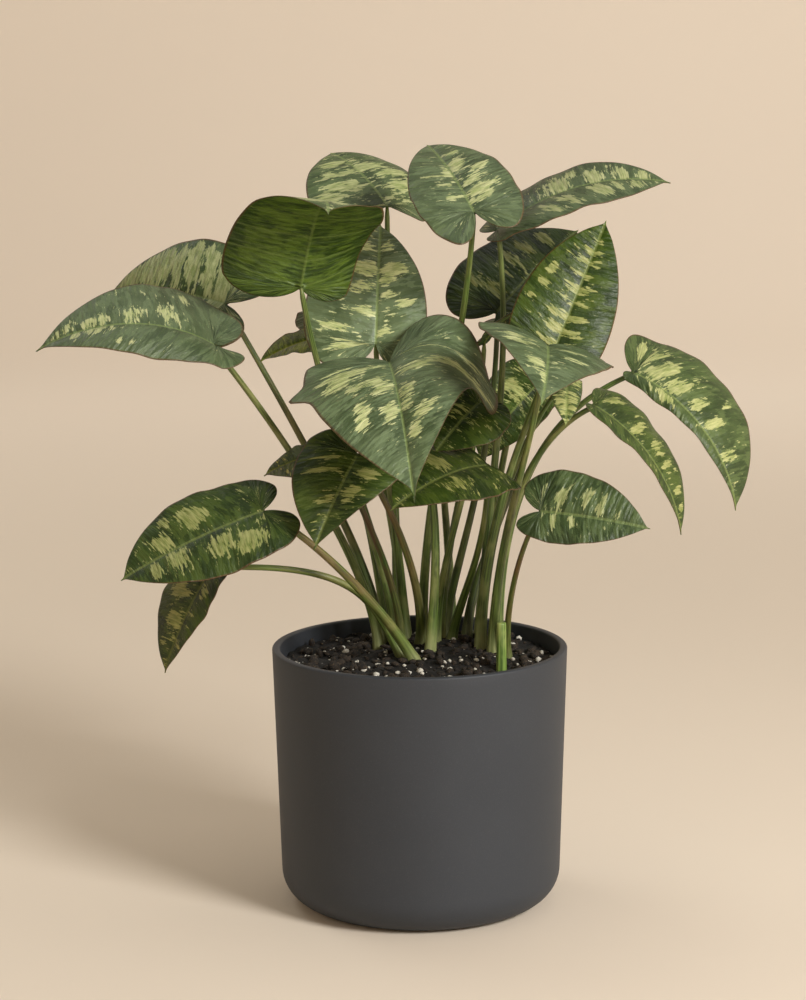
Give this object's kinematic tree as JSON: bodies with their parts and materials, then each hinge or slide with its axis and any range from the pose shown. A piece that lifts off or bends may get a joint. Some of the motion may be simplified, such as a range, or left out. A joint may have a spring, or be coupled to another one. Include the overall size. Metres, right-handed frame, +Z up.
{
  "type": "potted homalomena",
  "caption": "Potted foliage plant: heart-shaped variegated leaves on long stalks that rise from soil in a round straight-sided pot.",
  "frame": {"origin": "centre of the pot's flat underside, on the pot's axis", "axes": "+Z up along the pot's axis, -Y towards the front of the plant, +X to its right"},
  "size_m": [0.3935, 0.2537, 0.4352],
  "materials": {
    "pot": "matt charcoal grey, fine even grain",
    "soil": "moist dark bark and peat mix with white perlite grains",
    "leaf": "satin waxy green, mottled in cream and pale green",
    "stalk": "satin fleshy green"
  },
  "bodies": {
    "root": {"leaf_back_left": "leaf", "leaf_behind_left": "leaf", "leaf_behind_low": "leaf", "leaf_behind_right": "leaf", "leaf_bright": "leaf", "leaf_dark_back": "leaf", "leaf_deep_right": "leaf", "leaf_far_left": "leaf", "leaf_far_right": "leaf", "leaf_front": "leaf", "leaf_glossy": "leaf", "leaf_hang_left": "leaf", "leaf_low_centre": "leaf", "leaf_low_left": "leaf", "leaf_narrow": "leaf", "leaf_olive_high": "leaf", "leaf_olive_low": "leaf", "leaf_small_right": "leaf", "leaf_top": "leaf", "leaf_top_back": "leaf", "leaf_top_right": "leaf", "leaf_toward": "leaf", "leaf_under_front": "leaf", "leaf_under_toward": "leaf", "leaf_underside": "leaf", "leaf_upright": "leaf", "leaf_wide_left": "leaf", "pot": "pot", "soil": "soil", "stalk_back_left": "stalk", "stalk_behind_left": "stalk", "stalk_behind_low": "stalk", "stalk_behind_right": "stalk", "stalk_bright": "stalk", "stalk_dark_back": "stalk", "stalk_deep_right": "stalk", "stalk_far_left": "stalk", "stalk_far_right": "stalk", "stalk_front": "stalk", "stalk_glossy": "stalk", "stalk_hang_left": "stalk", "stalk_low_centre": "stalk", "stalk_low_left": "stalk", "stalk_narrow": "stalk", "stalk_olive_high": "stalk", "stalk_olive_low": "stalk", "stalk_small_right": "stalk", "stalk_stub": "stalk", "stalk_top": "stalk", "stalk_top_back": "stalk", "stalk_top_right": "stalk", "stalk_toward": "stalk", "stalk_under_front": "stalk", "stalk_under_toward": "stalk", "stalk_underside": "stalk", "stalk_upright": "stalk", "stalk_wide_left": "stalk"}
  },
  "joints": []
}
